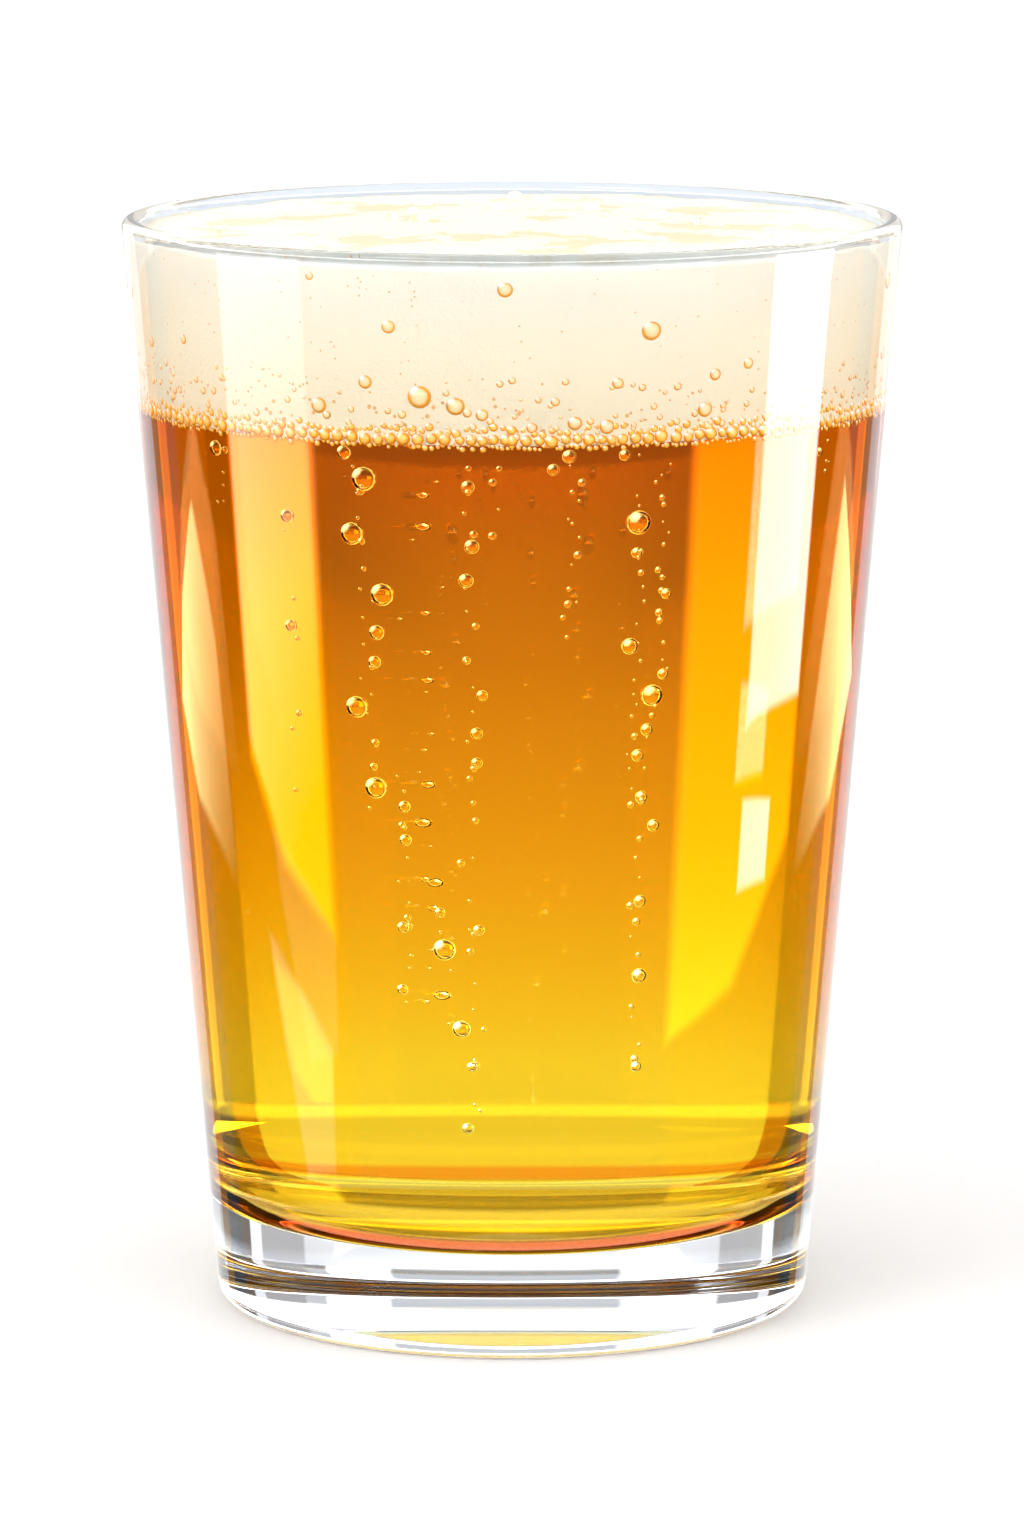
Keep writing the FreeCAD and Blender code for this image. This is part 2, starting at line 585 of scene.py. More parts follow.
def turned(name: str, outline: list[Point], steps: int = 256) -> Piece:
    """Turns an outline about the Z axis into a closed, smooth piece.

    Args:
        name: The piece's name.
        outline: Points as radius and height, from the axis back to the axis.
        steps: How many stretches there are round the axis.

    Returns:
        The piece, in object mode.
    """
    clear_selection()
    bpy.ops.mesh.primitive_plane_add(size=MM, enter_editmode=True)
    bpy.ops.mesh.merge(type="CENTER")
    here = Vector((outline[0][0], 0, outline[0][1]))
    bpy.ops.transform.translate(value=here)
    for radius, height in outline[1:]:
        there = Vector((radius, 0, height))
        bpy.ops.mesh.extrude_region_move(TRANSFORM_OT_translate={"value": there - here})
        here = there
    bpy.ops.mesh.select_all(action="SELECT")
    bpy.ops.mesh.spin(steps=steps, angle=2 * math.pi, center=(0, 0, 0), axis=(0, 0, 1))
    bpy.ops.mesh.select_all(action="SELECT")
    bpy.ops.mesh.remove_doubles(threshold=WELD)
    bpy.ops.mesh.normals_make_consistent(inside=False)
    bpy.ops.object.mode_set(mode="OBJECT")
    piece = bpy.context.object
    piece.name = piece.data.name = name
    bpy.ops.object.shade_smooth_by_angle(angle=SMOOTH_ANGLE)
    return piece


def dress(piece: Piece, made: Material) -> None:
    """Gives a piece its material, and lets it ride on the body.

    Args:
        piece: The piece.
        made: Its material.
    """
    piece.data.materials.clear()
    piece.data.materials.append(made)
    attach(piece, BODY)
    LOG.info("%s: %d faces", piece.name, len(piece.data.polygons))


@dataclass
class Glass:
    """The glass: its foot, floor, wall and lip, turned as one piece."""

    wall_at_foot: float = 3.1 * MM
    wall_at_lip: float = 2.4 * MM
    inner_corner: float = 11.0 * MM
    foot_corner: float = 2.6 * MM
    foot_ring: float = 6.6 * MM
    hollow_depth: float = 1.8 * MM
    hollow_edge: float = 1.0 * MM
    lip_round: float = 1.05 * MM
    rim: float = 46.6 * MM
    foot: float = 35.6 * MM
    height: float = field(init=False)
    floor: float = field(init=False)
    hollow_steps: int = 12

    def __post_init__(self) -> None:
        """Reads the heights from the frame."""
        self.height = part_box("glass")[1].z
        self.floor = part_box("beer")[0].z

    def outside(self, height: float) -> float:
        """The outside radius of the wall at a height."""
        return self.foot + (self.rim - self.foot) * height / self.height

    def inside(self, height: float) -> float:
        """The inside radius of the wall at a height."""
        thinning = (self.wall_at_foot - self.wall_at_lip) * height / self.height
        return self.outside(height) - self.wall_at_foot + thinning

    def build(self) -> Piece:
        """Turns the glass and dresses it.

        Returns:
            The finished glass.
        """
        hollow = self.foot - self.foot_ring
        shares = [step / self.hollow_steps for step in range(self.hollow_steps)]
        dome = [Corner(hollow * share, self.hollow_depth * (1 - share**2)) for share in shares]
        corners = dome + [
            Corner(hollow, 0, self.hollow_edge),
            Corner(self.foot, 0, self.foot_corner),
            Corner(self.rim, self.height, self.lip_round),
            Corner(self.inside(self.height), self.height, self.lip_round),
            Corner(self.inside(self.floor), self.floor, self.inner_corner),
            Corner(0, self.floor),
        ]
        piece = turned("glass_body", spaced(rounded(corners, steps=14), FACE_REACH))
        dress(piece, ClearGlass(self.floor, self.height).material())
        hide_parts("glass")
        return piece


@dataclass
class Beer:
    """The beer, which reaches just into the wall and just into the head."""

    glass: Glass
    into_wall: float = 0.12 * MM
    into_head: float = 0.5 * MM
    level: float = field(init=False)

    def __post_init__(self) -> None:
        """Reads the level from the frame."""
        self.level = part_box("beer")[1].z

    def build(self) -> Piece:
        """Turns the beer and dresses it.

        Returns:
            The finished beer.
        """
        low = self.glass.floor - self.into_wall
        top = self.level + self.into_head
        corners = [
            Corner(0, low),
            Corner(self.glass.inside(low) + self.into_wall, low, self.glass.inner_corner),
            Corner(self.glass.inside(top) + self.into_wall, top),
            Corner(0, top),
        ]
        piece = turned("beer_body", spaced(rounded(corners, steps=18), FACE_REACH))
        dress(piece, AmberBeer(self.glass.floor, self.level).material())
        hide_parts("beer")
        return piece


@dataclass
class Head:
    """The head of foam, with a crown that is highest in the middle and covered in low lumps."""

    glass: Glass
    into_wall: float = 0.2 * MM
    edge_round: float = 0.9 * MM
    wet_edge: float = 0.3 * MM
    crown_drop: float = 1.0 * MM
    crown_depth: float = 2 * MM
    lump_size: float = 11 * MM
    lump_height: float = 0.3 * MM
    froth_size: float = 2.2 * MM
    froth_height: float = 0.16 * MM
    lumps_start: float = 2.4 * MM
    lumps_fade: float = 1.2 * MM
    face_reach: float = 0.9 * MM
    level: float = field(init=False)
    top: float = field(init=False)

    def __post_init__(self) -> None:
        """Reads the level of the beer and the top of the crown from the frame."""
        self.level, self.top = (corner.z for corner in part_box("foam"))

    def crown(self, radius: float) -> float:
        """The height of the crown at a radius, before its lumps."""
        return self.top - self.crown_drop * (radius / self.glass.inside(self.top)) ** 2

    def build(self) -> Piece:
        """Turns the head, gives it its lumps and dresses it.

        Returns:
            The finished head.
        """
        edge = self.glass.inside(self.top) + self.into_wall
        corners = [
            Corner(0, self.level),
            Corner(self.glass.inside(self.level) + self.into_wall, self.level, self.wet_edge),
            Corner(edge, self.crown(edge), self.edge_round),
            Corner(0, self.top),
        ]
        outline = [
            (radius, height if height < self.top - self.crown_depth else min(height, self.crown(radius)))
            for radius, height in spaced(rounded(corners, steps=6), self.face_reach)
        ]
        piece = turned("foam_head", outline, steps=288)
        self.roughen(piece)
        dress(piece, CreamFoam(self.level, self.top).material())
        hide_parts("foam")
        return piece

    def roughen(self, piece: Piece) -> None:
        """Raises low lumps and finer froth on the crown.

        Args:
            piece: The smooth head.
        """
        crown = piece.vertex_groups.new(name="crown")
        for vertex in piece.data.vertices:
            share = (vertex.co.z - self.top + self.lumps_start) / self.lumps_fade
            crown.add([vertex.index], min(max(share, 0.0), 1.0), "REPLACE")
        for name, size, height in (
            ("lumps", self.lump_size, self.lump_height),
            ("froth", self.froth_size, self.froth_height),
        ):
            texture = bpy.data.textures.new(name, type="CLOUDS")
            texture.noise_scale = size
            texture.noise_depth = 3
            relief = piece.modifiers.new(name, "DISPLACE")
            relief.texture = texture
            relief.texture_coords = "LOCAL"
            relief.direction = "Z"
            relief.strength = height * 2
            relief.mid_level = 0.6
            relief.vertex_group = crown.name
            clear_selection()
            piece.select_set(True)
            bpy.context.view_layer.objects.active = piece
            bpy.ops.object.modifier_apply(modifier=relief.name)


@dataclass(frozen=True)
class Bead:
    """One bubble's place and size: its middle, its radius and how flat it is along outwards."""

    middle: Vector
    radius: float
    flat: float = 1.0


@dataclass
class Beads:
    """Bubbles of one kind, copied from one bubble and joined in one mesh.

    Each has a ring round its outward half, and a painted highlight, the glint, that lies outwards,
    aside and up from its middle.
    """

    name: str
    finish: AirBubble | FoamBubble
    slot: Slot
    fineness: int = 2
    crown_start: float = 0.05
    crown_scale: float = 0.94
    behind: float = -0.05
    glint_toward: Spot = (0.62, 0.48, 0.62)
    glint_edge: float = 0.84
    glint_soft: float = 0.1
    places: list[Bead] = field(default_factory=list)

    def pattern(self) -> tuple[np.ndarray, np.ndarray]:
        """Models the bubble that is copied: a ball whose crown is a little flattened.

        Returns:
            Its points, at a radius of 1, and its faces.
        """
        clear_selection()
        bpy.ops.mesh.primitive_ico_sphere_add(subdivisions=self.fineness, radius=1, enter_editmode=True)
        bpy.ops.mesh.select_all(action="DESELECT")
        bpy.ops.object.mode_set(mode="OBJECT")
        ball = bpy.context.object
        for vertex in ball.data.vertices:
            vertex.select = vertex.co.z > self.crown_start
        bpy.ops.object.mode_set(mode="EDIT")
        bpy.ops.transform.resize(value=(1.0, 1.0, self.crown_scale), center_override=(0, 0, 0))
        bpy.ops.object.mode_set(mode="OBJECT")
        points = np.array([vertex.co for vertex in ball.data.vertices])
        faces = np.array([face.vertices for face in ball.data.polygons])
        bpy.data.objects.remove(ball)
        return points, faces

    def build(self) -> Piece:
        """Copies the bubble to every place and dresses the joined mesh.

        Returns:
            The finished piece.
        """
        points, faces = self.pattern()
        out, across, up = self.glint_toward
        blocks = []
        rings = []
        glints = []
        for bead in self.places:
            outward = np.array((bead.middle.x, bead.middle.y, 0.0))
            outward /= max(np.linalg.norm(outward), 1e-9)
            along = points @ outward
            shape = points - np.outer(along, outward) * (1 - bead.flat)
            blocks.append(shape * bead.radius + np.array(bead.middle))
            rings.append(np.where(along < self.behind, 0.0, np.sqrt(np.clip(1 - along**2, 0, 1))))
            # The glint marks where the painted highlight lies on each bubble.
            aside = np.array((outward[1], -outward[0], 0.0))
            lit = outward * out + aside * across + np.array((0.0, 0.0, up))
            toward = points @ (lit / np.linalg.norm(lit))
            glints.append(np.clip((toward - self.glint_edge) / self.glint_soft, 0, 1))
        count = len(points)
        mesh = bpy.data.meshes.new(self.name)
        every = np.concatenate([faces + count * i for i in range(len(blocks))])
        mesh.from_pydata(np.concatenate(blocks).tolist(), [], every.tolist())
        for name, values in ((RING, rings), (PAINTED_GLINT, glints)):
            marks = mesh.attributes.new(name, "FLOAT", "POINT")
            marks.data.foreach_set("value", np.concatenate(values).astype(np.float32))
        mesh.shade_smooth()
        piece = bpy.data.objects.new(self.name, mesh)
        bpy.context.scene.collection.objects.link(piece)
        dress(piece, self.finish.material())
        return piece


@dataclass(frozen=True)
class Rise:
    """One string of bubbles: its turn, its ends' heights, and its larger bubbles in order.

    Each of the larger bubbles is a turn, a height and a diameter, in degrees and millimetres.
    """

    turn: float
    low: float
    high: float
    fine: int
    large: tuple[Spot, ...] = ()


@dataclass
class Fizz:
    """The strings of bubbles that rise just inside the wall."""

    glass: Glass
    seed: int = 7
    strings: tuple[Rise, ...] = (
        Rise(-25, 66, 108, 18, (
            (-27.5, 108, 1.7), (-24.5, 105, 2.9), (-27, 98.5, 2.7), (-22, 91.5, 2.7), (-23, 87, 1.8),
            (-23.5, 83.5, 1.5), (-27.5, 78, 2.6), (-24.5, 68.5, 2.6),
        )),
        Rise(-19, 43, 71, 12, ((-19, 66.5, 1.4), (-19, 62.5, 1.4), (-20, 52, 1.4), (-20.5, 44.5, 1.3))),
        Rise(-12, 40, 54, 4, ((-13, 54, 1.2), (-12.5, 49.5, 2.6), (-9.5, 40, 2.1))),
        Rise(-7, 28, 108, 30, (
            (-7, 104.5, 1.5), (-6.5, 97.5, 1.7), (-7.5, 93.5, 1.7), (-5, 80, 1.3), (-6, 75.5, 1.4),
            (-6, 72, 1.3), (-6, 52, 1.3), (-7.5, 35.5, 1.2), (-8.5, 28, 1.3),
        )),
        Rise(-2, 98, 108, 4),
        Rise(9.5, 86, 108, 14, ((9, 108, 1.6), (6.5, 106.5, 1.4))),
        Rise(21, 66, 108, 22, ((18, 108, 1.4), (21, 100, 2.9), (20.5, 96.5, 1.3), (20, 85.5, 2.0))),
        Rise(26, 80, 108, 16, ((26, 91.5, 1.3), (26, 82, 1.3))),
        Rise(23.5, 34, 80, 18, (
            (24.5, 79.5, 2.6), (23.5, 75.5, 1.5), (22, 72.5, 1.5), (23, 67.5, 1.5), (25.5, 64, 1.5),
            (23.5, 55, 1.5), (24, 46, 1.8), (24, 35, 1.3),
        )),
        Rise(-54, 99, 107, 5, ((-54.5, 107, 1.9),)),
        Rise(-39, 64, 101, 6, ((-39, 100, 1.7), (-39.5, 87, 1.5))),
        Rise(59, 103, 108, 5),
    )
    behind: int = 3
    behind_lowest: Span = (28, 80)
    behind_high: float = 107
    behind_spacing: float = 3
    large_depth: float = 0.8 * MM
    fine_depth: Span = (0.5, 2.5)
    smallest: float = 0.3
    wander: float = 0.9

    def build(self) -> Piece:
        """Places the strings at the front as listed, and looser ones round the back.

        Returns:
            The finished piece.
        """
        draw = random.Random(self.seed)
        beads = Beads("rising_bubbles", AirBubble(), Slot.BEER, fineness=3)
        strings = list(self.strings)
        for number in range(self.behind):
            turn = 90 + 180 * (number + draw.random()) / self.behind
            low = draw.uniform(*self.behind_lowest)
            count = int((self.behind_high - low) / self.behind_spacing)
            strings.append(Rise(turn, low, self.behind_high, count))
        for string in strings:
            for turn, height, size in string.large:
                beads.places.append(self.bead(turn, height * MM, size * MM, self.large_depth))
            for number in range(string.fine):
                height = string.low + (string.high - string.low) * (number + draw.random()) / string.fine
                turn = string.turn + draw.gauss(0, self.wander)
                largest = 1.0 if string.large else 1.3
                size = self.smallest + (largest - self.smallest) * draw.random() ** 2
                depth = draw.uniform(*self.fine_depth) * MM
                beads.places.append(self.bead(turn, height * MM, size * MM, depth))
        return beads.build()

    def bead(self, turn: float, height: float, size: float, depth: float) -> Bead:
        """One bubble a little way in from the wall."""
        radius = self.glass.inside(height) - depth - size / 2
        return Bead(around(turn, radius, height), size / 2)


@dataclass(frozen=True)
class Row:
    """A row of beads: how far above the beer it lies, how uneven it is, and its beads' radii."""

    rise: float
    spread: float
    smallest: float
    largest: float


@dataclass
class Collar:
    """The beads that crowd round the wall where the beer meets the head."""

    glass: Glass
    level: float
    seed: int = 11
    rows: tuple[Row, ...] = (
        Row(0.7, 0.15, 0.6, 0.88),
        Row(1.8, 0.5, 0.3, 0.6),
        Row(-0.1, 0.3, 0.2, 0.4),
    )
    into_wall: float = 0.1 * MM
    flat: float = 0.6
    spacing: Span = (0.93, 1.1)

    def build(self) -> Piece:
        """Lays one even row of large beads, a looser one over it and a fine one under it.

        Returns:
            The finished piece.
        """
        draw = random.Random(self.seed)
        # The beads give off a little painted light in their own colour.
        finish = FoamBubble(
            "collar_bead",
            cap=from_screen(255, 218, 130),
            shade=from_screen(250, 184, 66),
            ring=from_screen(226, 136, 12),
            painted_glow=0.3,
        )
        beads = Beads("collar_beads", finish, Slot.FOAM)
        for row in self.rows:
            turn = 0.0
            while turn < 360:
                size = draw.uniform(row.smallest, row.largest) * MM
                height = self.level + row.rise * MM + draw.uniform(-row.spread, row.spread) * MM
                radius = self.glass.inside(height) + self.into_wall
                beads.places.append(Bead(around(turn, radius, height), size, self.flat))
                turn += math.degrees(2.0 * size / radius) * draw.uniform(*self.spacing)
        return beads.build()


@dataclass
class HeadBubbles:
    """The bubbles in the side of the head, crowded near the beer, and those on its crown."""

    head: Head
    seed: int = 23
    large: tuple[Spot, ...] = (
        (-1, 127.5, 1.9), (-18.5, 123, 1.7), (21, 122.5, 2.4), (-22.5, 116.5, 1.7), (-14, 115, 2.8),
        (-8.5, 114, 2.2), (-30.5, 113.5, 2.0), (30.5, 113, 1.9), (9.5, 112, 1.7), (14.5, 111.5, 1.8),
        (32, 117, 1.5), (38, 118, 1.4), (-4.5, 113, 1.5), (16, 116.5, 1.4), (-59, 119.5, 1.3),
        (-31, 128.5, 1.2), (6.5, 114.5, 1.1), (3, 111.5, 1.3),
    )
    behind: int = 34
    behind_start: float = 70
    behind_sweep: float = 220
    behind_sizes: Span = (0.9, 2.3)
    behind_above: float = 1.5 * MM
    behind_reach: float = 16 * MM
    froth: int = 620
    froth_sizes: Span = (0.3, 1.1)
    froth_above: float = 0.6 * MM
    froth_reach: float = 7.5 * MM
    froth_crowding: float = 2.2
    top: int = 14
    top_sizes: Span = (1.4, 3.0)
    top_spread: Span = (0.02, 0.9)
    top_sunk: float = 0.3
    flat: float = 0.35
    stand_out: float = 0.02

    def build(self) -> None:
        """Places the bubbles of each kind."""
        draw = random.Random(self.seed)
        self.in_side(draw)
        self.as_froth(draw)
        self.on_top(draw)

    def in_side(self, draw: random.Random) -> None:
        """Larger bubbles in the side of the head: listed at the front, scattered round the back.

        Args:
            draw: Where the random numbers come from.
        """
        beads = Beads("head_side_bubbles", FoamBubble("side_bubble"), Slot.FOAM, fineness=3)
        for turn, height, size in self.large:
            beads.places.append(self.bead(turn, height * MM, size * MM))
        for number in range(self.behind):
            turn = self.behind_start + self.behind_sweep * (number + draw.random()) / self.behind
            height = self.head.level + self.behind_above + self.behind_reach * draw.random() ** 2
            beads.places.append(self.bead(turn, height, draw.uniform(*self.behind_sizes) * MM))
        beads.build()

    def as_froth(self, draw: random.Random) -> None:
        """Small bubbles all round, which thicken towards the beer.

        Args:
            draw: Where the random numbers come from.
        """
        beads = Beads("head_side_froth", FoamBubble("froth"), Slot.FOAM)
        for _ in range(self.froth):
            rise = self.froth_reach * draw.random() ** self.froth_crowding
            height = self.head.level + self.froth_above + rise
            turn = draw.uniform(0, 360)
            beads.places.append(self.bead(turn, height, draw.uniform(*self.froth_sizes) * MM))
        beads.build()

    def on_top(self, draw: random.Random) -> None:
        """A few bubbles sunk in the crown.

        Args:
            draw: Where the random numbers come from.
        """
        finish = FoamBubble(
            "top_bubble",
            cap=from_screen(236, 228, 208),
            shade=from_screen(228, 214, 182),
            ring=from_screen(214, 188, 142),
            painted_glow=0.0,
        )
        beads = Beads("head_top_bubbles", finish, Slot.FOAM)
        widest = self.head.glass.inside(self.head.top)
        for _ in range(self.top):
            radius = widest * math.sqrt(draw.uniform(*self.top_spread))
            size = draw.uniform(*self.top_sizes) * MM
            height = self.head.crown(radius) - size * self.top_sunk
            beads.places.append(Bead(around(draw.uniform(0, 360), radius, height), size / 2))
        beads.build()

    def bead(self, turn: float, height: float, size: float) -> Bead:
        """One flattened bubble that stands a little out of the side of the head."""
        radius = self.head.glass.inside(height) + self.head.into_wall - self.stand_out * size
        return Bead(around(turn, radius, height), size / 2, self.flat)


@dataclass(frozen=True)
class Card:
    """A lit card in the studio: a convex outline of bearings and elevations.

    Its light can fade from one elevation, where none is left, to another, where all of it shows.
    """

    corners: tuple[Point, ...]
    light: float
    tint: Tint = (1.0, 1.0, 1.0)
    soft: float = 0.03
    fade: Span | None = None


@dataclass(frozen=True)
class Band:
    """Where an upright band starts, by bearing either side of straight behind, and its light.

    It reaches to where the next one starts. The last has no light and only ends the others.
    """

    start: float
    light: float | None


@dataclass
class Studio:
    """The floor, the light and the camera.

    The light from behind, from the sides and from the front is a list of pairs of elevation and
    light. Bands stand in the light between two elevations, flags under them at the sides, and
    cards in front of all of it.
    """

    eye_distance: float = 0.915
    eye_height: float = 0.2187
    aim_height: float = 0.0648
    lens: float = 180.3
    floor_reach: float = 6.0
    floor_tones: Span = (0.84, 0.87)
    floor_grain: float = 3.0
    bearing_scale: float = 0.04
    soft_end: float = 0.3
    lowest: float = -30.0
    highest: float = 60.0
    back: tuple[Point, ...] = (
        (-30, 1.25), (-16, 1.25), (-12, 1.15), (-9.5, 1.15), (-8.5, 1.2), (-7.4, 1.1), (-6.7, 1.0),
        (-5.9, 0.86), (-5.2, 0.68), (-4.6, 0.51), (-4.1, 0.42), (-0.5, 0.42), (3, 0.85),
        (13, 0.85), (16, 3.2), (22, 3.2), (28, 0.25),
    )
    side: tuple[Point, ...] = ((-30, 0.12), (-11, 0.6), (8, 0.6), (11, 9.0), (22, 9.0), (28, 0.25))
    front: tuple[Point, ...] = (
        (-30, 0.12), (-14.8, 0.05), (-13.4, 0.8), (-5, 0.9), (-1, 0.6), (8, 0.6), (11, 10.6),
        (22, 10.6), (28, 0.25),
    )
    back_to_side: Span = (50.0, 60.0)
    side_to_front: Span = (100.0, 118.0)
    bands_between: Span = (-8.4, 14.0)
    flags_below: Span = (-8.2, -8.6)
    flags_between: Span = (32.0, 118.0)
    tan_to_cool: Span = (39.0, 41.0)
    cool_to_warm: Span = (50.0, 54.0)
    tan_flag: Tint = (0.75, 0.40, 0.16)
    cool_flag: Tint = (0.16, 0.17, 0.2)
    warm_flag: Tint = (0.5, 0.16, 0.0)
    bands: tuple[Band, ...] = (
        Band(31.5, 0.58),
        Band(44, 1.3),
        Band(48.5, 0.14),
        Band(68, None),
    )
    cards: tuple[Card, ...] = (
        # The upright bands behind the beer.
        Card(((16, 16), (16, -7.2), (22, -6.4), (26.5, -5.3), (26.5, 16)), 3.1, fade=(-9.5, -4.5)),
        Card(((26, -6.8), (21, -7.4), (17, -8.1), (17.5, -8.9), (22.5, -8.6), (24.5, -7.3)), 1.6),
        Card(((-14, 16), (-14, -8.1), (-22, -7.3), (-31, -5.6), (-31, 16)), 1.95),
        # What the outer wall mirrors: two strips, each in two pieces, and two crescents.
        Card(((-115, -8), (-83, -8), (-82, -15.4), (-95, -17.2), (-114, -18.6)), 3.6, fade=(-17.5, -13)),
        Card(
            ((-83.5, -17), (-98, -18.3), (-111.5, -19.5), (-110, -20.3), (-94, -19.5), (-88, -17.9)),
            1.6,
        ),
        Card(((70.5, -8), (71, -14.4), (95.5, -16.3), (96, -8)), 11.0),
        Card(((82, -15.9), (95, -16.7), (95, -17.4), (82, -16.5)), 11.0),
        Card(
            ((-59, -12.1), (-47, -11.9), (-39, -12), (-47, -13.4), (-70, -15.8), (-67, -13.7)),
            5.5, tint=(1.0, 0.96, 0.42), fade=(-15.8, -12.4),
        ),
        Card(
            ((52, -11.4), (66, -15.4), (42, -13), (30, -11.1)),
            5.5, tint=(1.0, 0.96, 0.42), fade=(-15.4, -11.8),
        ),
        # The key, above the left shoulder.
        Card(((-152, 42), (-152, 60), (-122, 60), (-122, 42)), 5.0),
    )

    def build(self) -> None:
        """Sets the studio up."""
        self.make_floor()
        self.make_world()
        self.make_camera()
        scene = bpy.context.scene
        scene.world.cycles.sampling_method = "NONE"
        scene.view_settings.view_transform = "Standard"
        scene.cycles.max_bounces = 16
        scene.cycles.diffuse_bounces = 3
        scene.cycles.transmission_bounces = 14
        scene.cycles.glossy_bounces = 6

    def make_floor(self) -> None:
        """A pale matt floor. What the glass bends or mirrors is the studio round it."""
        clear_selection()
        bpy.ops.mesh.primitive_circle_add(vertices=96, radius=self.floor_reach, fill_type="NGON")
        floor = bpy.context.object
        floor.name = "floor"
        made = bpy.data.materials.new("pale_floor")
        wiring = Wiring(made)
        dark, light = self.floor_tones
        tones = [(0.3, (dark, dark, dark)), (0.7, (light, light, light))]
        wiring.surface(Base_Color=wiring.ramp(wiring.noise(self.floor_grain), tones), Roughness=0.7)
        floor.data.materials.append(made)
        floor.visible_glossy = False
        floor.visible_transmission = False

    def make_world(self) -> None:
        """A white surround to the eye, and a studio of cards and flags to the glass."""
        world = bpy.data.worlds.new("studio")
        bpy.context.scene.world = world
        wiring = Wiring(world)
        direction = wiring.add("ShaderNodeTexCoord").outputs["Generated"]
        x, y, z = wiring.parts(direction)
        bearing = wiring.math("DEGREES", wiring.math("ARCTAN2", x, y))
        level = wiring.math("DEGREES", wiring.math("ARCSINE", z))
        aside = wiring.math("ABSOLUTE", bearing)
        light = self.surround(wiring, aside, level)
        banded = self.banded(wiring, aside, light)
        light = wiring.mix(self.window(wiring, level, *self.bands_between), light, banded)
        light = self.flagged(wiring, aside, level, light)
        for card in self.cards:
            light = wiring.mix(self.cover(wiring, bearing, level, card), light, self.shade(card))
        studio = wiring.add("ShaderNodeBackground", {"Color": light}).outputs[0]
        plain = wiring.add("ShaderNodeBackground", {"Color": (1.0, 1.0, 1.0)}).outputs[0]
        eye = wiring.add("ShaderNodeLightPath").outputs["Is Camera Ray"]
        choose = wiring.add("ShaderNodeMixShader", {0: eye, 1: studio, 2: plain})
        wiring.add("ShaderNodeOutputWorld", {"Surface": choose.outputs[0]})

    def surround(self, wiring: Wiring, aside: Socket, level: Socket) -> Socket:
        """The light all round: from behind, from the sides and from the front.

        Args:
            wiring: The world's wiring.
            aside: The bearing, the same on both sides.
            level: The elevation.

        Returns:
            The colour's socket.
        """
        share = wiring.between(level, self.lowest, self.highest, smooth=False)
        back, side, front = (
            wiring.ramp(share, self.grey_stops(lights)) for lights in (self.back, self.side, self.front)
        )
        light = wiring.mix(wiring.between(aside, *self.back_to_side), back, side)
        return wiring.mix(wiring.between(aside, *self.side_to_front), light, front)

    def grey_stops(self, lights: tuple[Point, ...]) -> list[tuple[float, Tint]]:
        """Ramp stops from pairs of elevation and light."""
        span = self.highest - self.lowest
        return [((level - self.lowest) / span, (light, light, light)) for level, light in lights]

    def flagged(self, wiring: Wiring, aside: Socket, level: Socket, light: Socket) -> Socket:
        """The light with the low flags at the sides in front of it.

        Args:
            wiring: The world's wiring.
            aside: The bearing, the same on both sides.
            level: The elevation.
            light: The light behind the flags.

        Returns:
            The colour's socket.
        """
        low = wiring.between(level, *self.flags_below)
        covered = wiring.math("MULTIPLY", low, self.window(wiring, aside, *self.flags_between))
        flag = wiring.mix(wiring.between(aside, *self.tan_to_cool), self.tan_flag, self.cool_flag)
        flag = wiring.mix(wiring.between(aside, *self.cool_to_warm), flag, self.warm_flag)
        return wiring.mix(covered, light, flag)

    def banded(self, wiring: Wiring, aside: Socket, light: Socket) -> Socket:
        """The light with the upright bands in front of it.

        Args:
            wiring: The world's wiring.
            aside: The bearing, the same on both sides.
            light: The light behind the bands.

        Returns:
            The colour's socket.
        """
        for band, after in zip(self.bands, self.bands[1:]):
            inside = self.window(wiring, aside, band.start, after.start)
            light = wiring.mix(inside, light, (band.light, band.light, band.light))
        return light

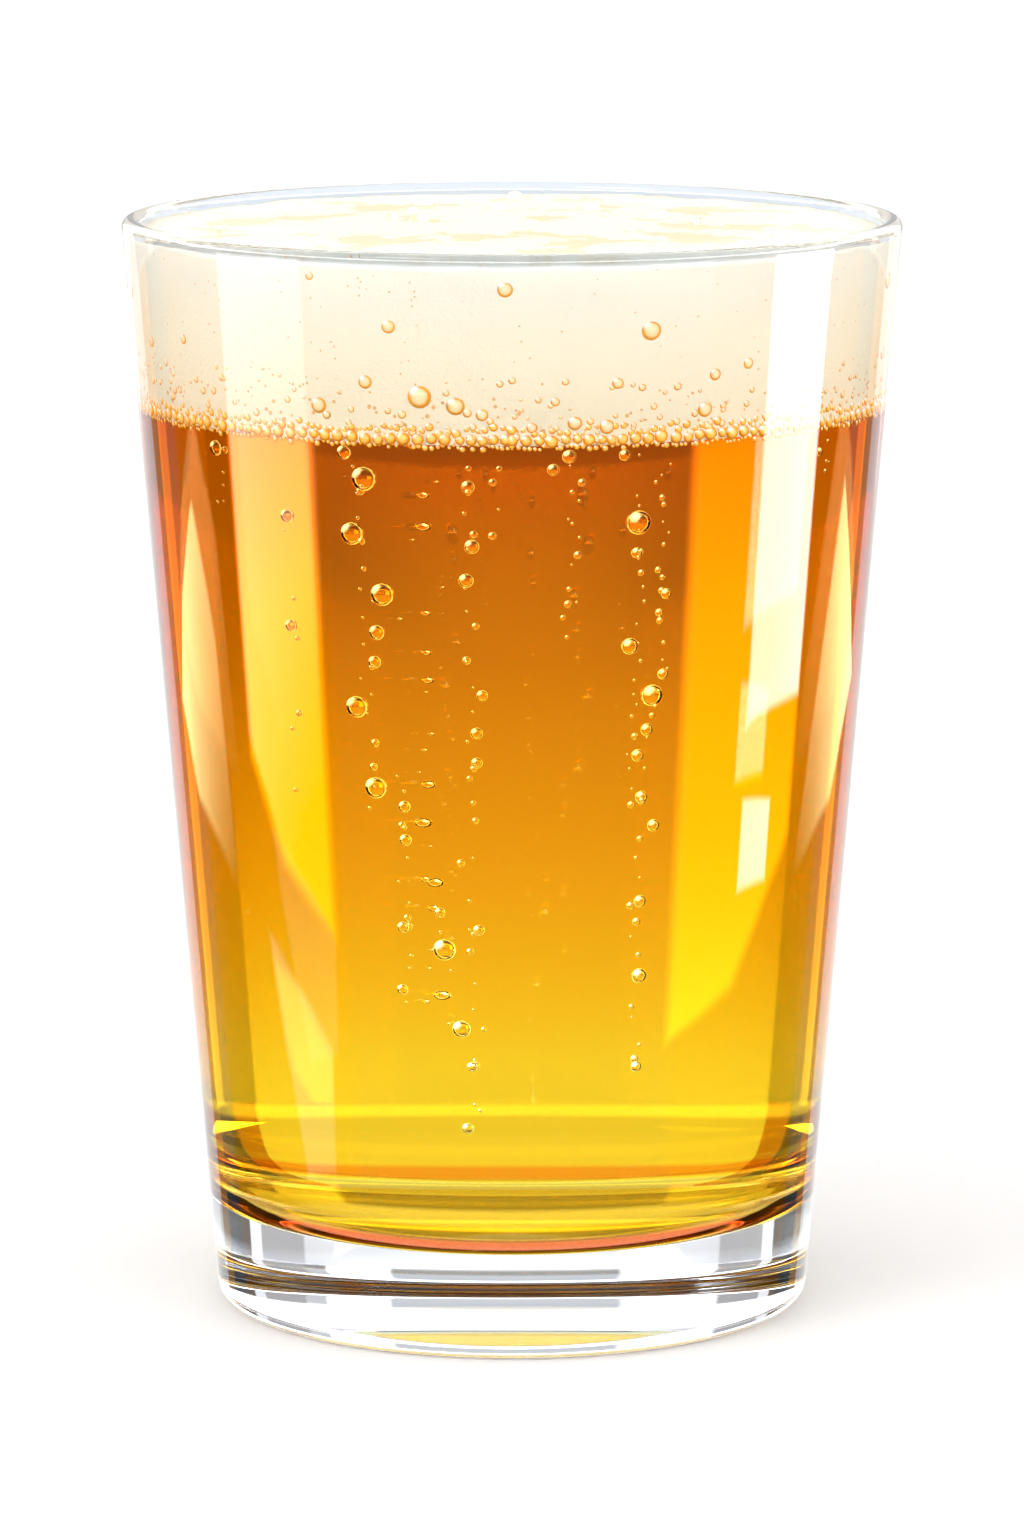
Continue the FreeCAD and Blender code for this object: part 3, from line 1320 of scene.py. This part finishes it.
    def window(self, wiring: Wiring, value: Socket, low: float, high: float) -> Socket:
        """1 where a value is between two others and 0 elsewhere, with soft ends.

        Args:
            wiring: The world's wiring.
            value: The value.
            low: The lower end.
            high: The upper end.

        Returns:
            The share's socket.
        """
        middle = (low + high) / 2
        off = wiring.math("ABSOLUTE", wiring.math("SUBTRACT", value, middle))
        half = (high - low) / 2
        return wiring.between(off, half + self.soft_end, half - self.soft_end, smooth=False)

    @staticmethod
    def shade(card: Card) -> Tint:
        """A card's light as a colour."""
        return tuple(channel * card.light for channel in card.tint)

    def cover(self, wiring: Wiring, bearing: Socket, level: Socket, card: Card) -> Socket:
        """How much of a direction a card covers.

        Args:
            wiring: The world's wiring.
            bearing: The direction's bearing.
            level: The direction's elevation.
            card: The card.

        Returns:
            A share from 0 to 1.
        """
        corners = [Vector((turn * self.bearing_scale, height)) for turn, height in card.corners]
        middle = sum(corners, Vector((0, 0))) / len(corners)
        depth = None
        for start, end in zip(corners, corners[1:] + corners[:1]):
            inward = Vector((start.y - end.y, end.x - start.x)).normalized()
            if inward.dot(middle - start) < 0:
                inward.negate()
            slope = inward.x * self.bearing_scale
            across = wiring.math("MULTIPLY_ADD", bearing, slope, -inward.dot(start))
            here = wiring.math("MULTIPLY_ADD", level, inward.y, across)
            depth = here if depth is None else wiring.math("MINIMUM", depth, here)
        covered = wiring.between(depth, -card.soft, card.soft)
        if card.fade:
            covered = wiring.math("MULTIPLY", covered, wiring.between(level, *card.fade, smooth=False))
        return covered

    def make_camera(self) -> None:
        """The camera, a little above the lip and looking down at the middle of the glass."""
        data = bpy.data.cameras.new("camera")
        data.lens = self.lens
        camera = bpy.data.objects.new("camera", data)
        bpy.context.scene.collection.objects.link(camera)
        camera.location = (0, -self.eye_distance, self.eye_height)
        aim = Vector((0, 0, self.aim_height)) - camera.location
        camera.rotation_euler = aim.to_track_quat("-Z", "Y").to_euler()
        bpy.context.scene.camera = camera


def main() -> None:
    """Builds the pint piece by piece."""
    logging.basicConfig(level=logging.INFO, format="%(message)s")
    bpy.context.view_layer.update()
    glass = Glass()
    glass.build()
    Beer(glass).build()
    head = Head(glass)
    head.build()
    Fizz(glass).build()
    Collar(glass, head.level).build()
    HeadBubbles(head).build()
    Studio().build()


if __name__ == "__main__":
    main()
